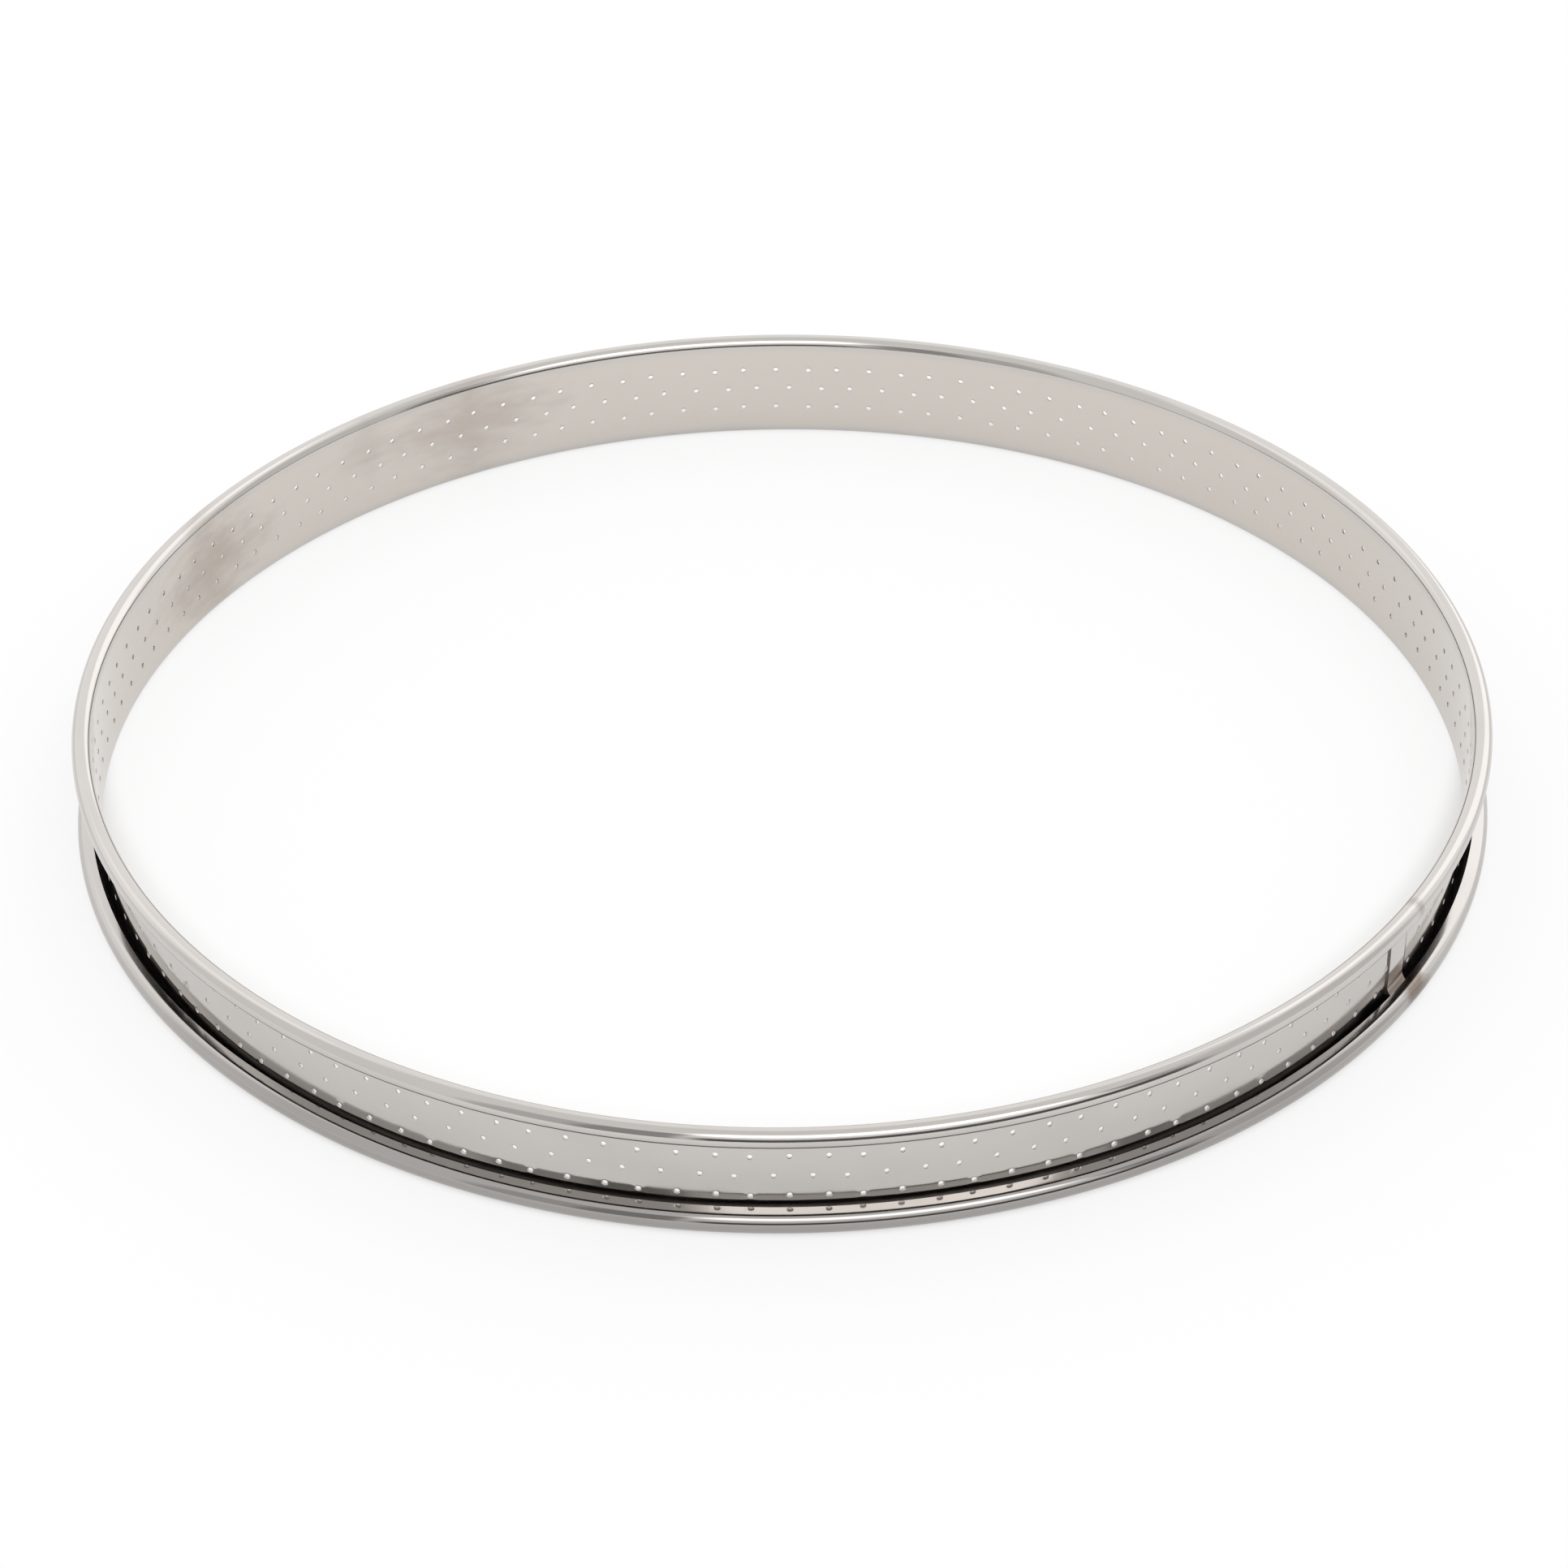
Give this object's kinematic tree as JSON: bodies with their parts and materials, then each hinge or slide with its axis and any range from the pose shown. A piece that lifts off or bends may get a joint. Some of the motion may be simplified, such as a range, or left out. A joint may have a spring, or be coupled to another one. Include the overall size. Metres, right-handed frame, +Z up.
{
  "type": "tart ring",
  "caption": "Low round perforated tart ring of thin stainless sheet, rolled outward along both edges, open at top and bottom, for baking and cutting tart shells.",
  "frame": {"origin": "centre of the ring at the level that its lower bead stands on", "axes": "+Z up along the ring's axis, away from the surface it stands on; the seam lies at about 329 degrees round from +X"},
  "size_m": [0.24, 0.24, 0.02],
  "materials": {
    "stainless_sheet": "bright rolled stainless sheet, lightly hazed, with polished beads"
  },
  "bodies": {
    "root": {"tart_ring": "stainless_sheet"}
  },
  "joints": []
}
